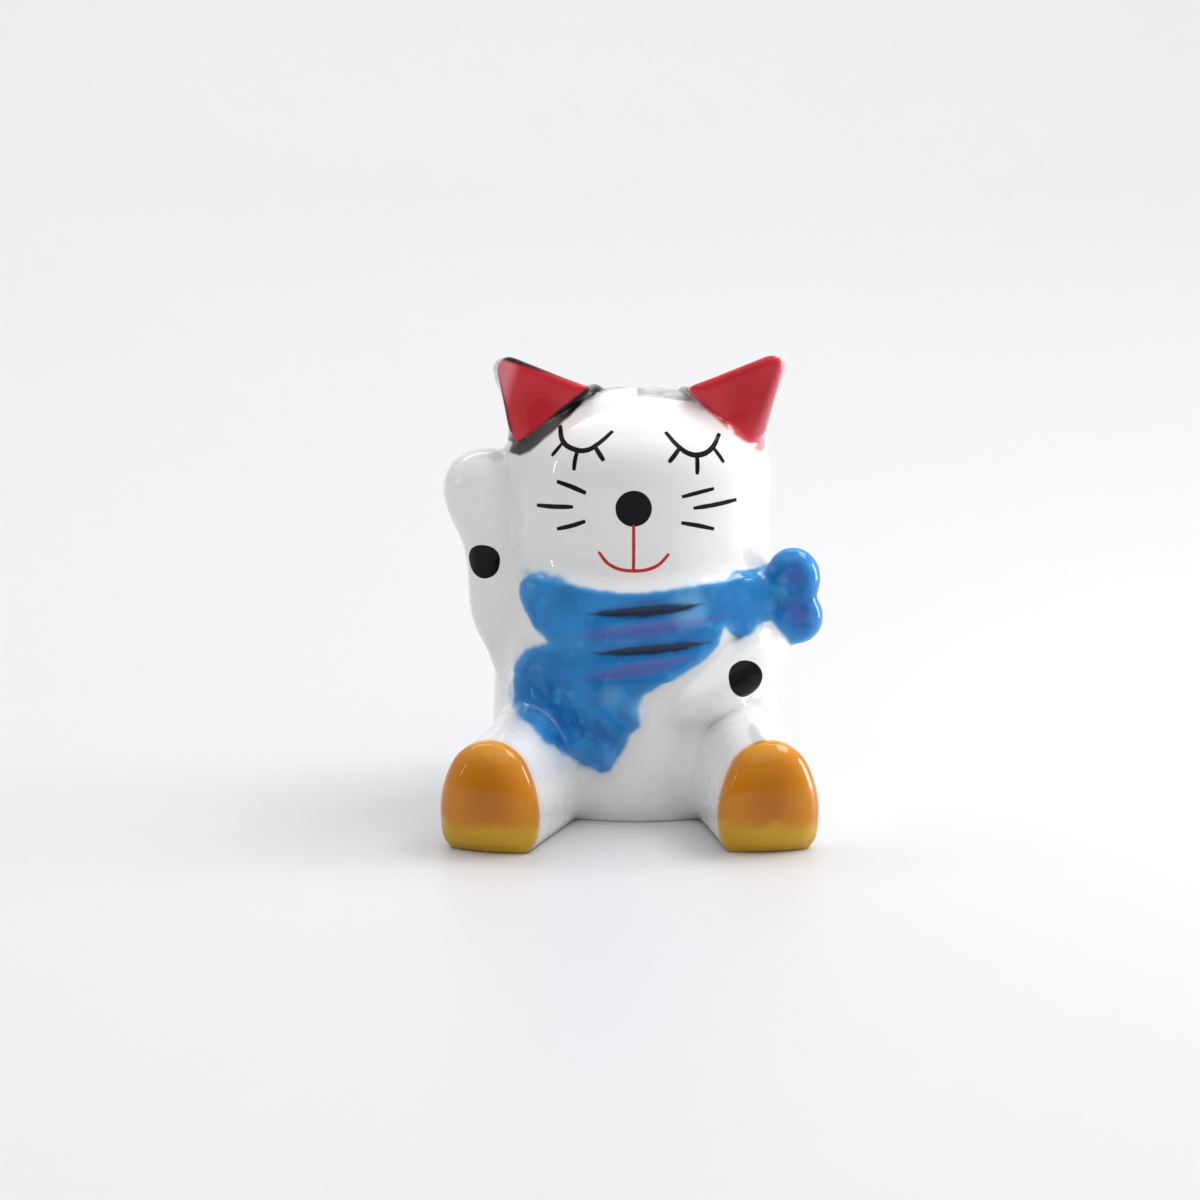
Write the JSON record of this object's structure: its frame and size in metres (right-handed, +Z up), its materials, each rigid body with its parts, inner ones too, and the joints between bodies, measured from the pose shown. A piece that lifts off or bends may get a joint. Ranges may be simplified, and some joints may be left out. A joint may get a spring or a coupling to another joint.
{
  "type": "ceramic cat figurine",
  "caption": "Small glazed ceramic cat, seated with legs forward, one paw raised, a blue scarf with a bow, red ears and amber soles.",
  "frame": {"origin": "on the flat base that it stands on, under the middle of the body", "axes": "+Z up, -Y the way the cat faces, +X towards the cat's own left"},
  "size_m": [0.0312, 0.0343, 0.0383],
  "materials": {
    "white_glaze": "clear gloss glaze over white porcelain",
    "red_glaze": "red underglaze, paler at the edges, clear gloss glaze",
    "blue_glaze": "mottled mid-blue underglaze under clear gloss glaze",
    "amber_glaze": "honey-brown pooled gloss glaze",
    "black_transfer": "black fired transfer, glossy",
    "red_transfer": "red fired transfer, glossy"
  },
  "bodies": {
    "root": {"head_and_torso": "white_glaze", "right_ear": "white_glaze", "left_ear": "white_glaze", "right_ear_lining": "red_glaze", "left_ear_lining": "red_glaze", "raised_arm": "white_glaze", "resting_arm": "white_glaze", "tail": "white_glaze", "right_leg": "white_glaze", "left_leg": "white_glaze", "right_sole": "amber_glaze", "left_sole": "amber_glaze", "scarf_wrap": "blue_glaze", "scarf_drape": "blue_glaze", "scarf_knot": "blue_glaze", "scarf_upper_loop": "blue_glaze", "scarf_lower_loop": "blue_glaze", "nose_transfer": "black_transfer", "mouth_transfer": "red_transfer", "right_eye_transfer": "black_transfer", "left_eye_transfer": "black_transfer", "right_whiskers_transfer": "black_transfer", "left_whiskers_transfer": "black_transfer", "raised_arm_spot": "black_transfer", "resting_arm_spot": "black_transfer"}
  },
  "joints": []
}
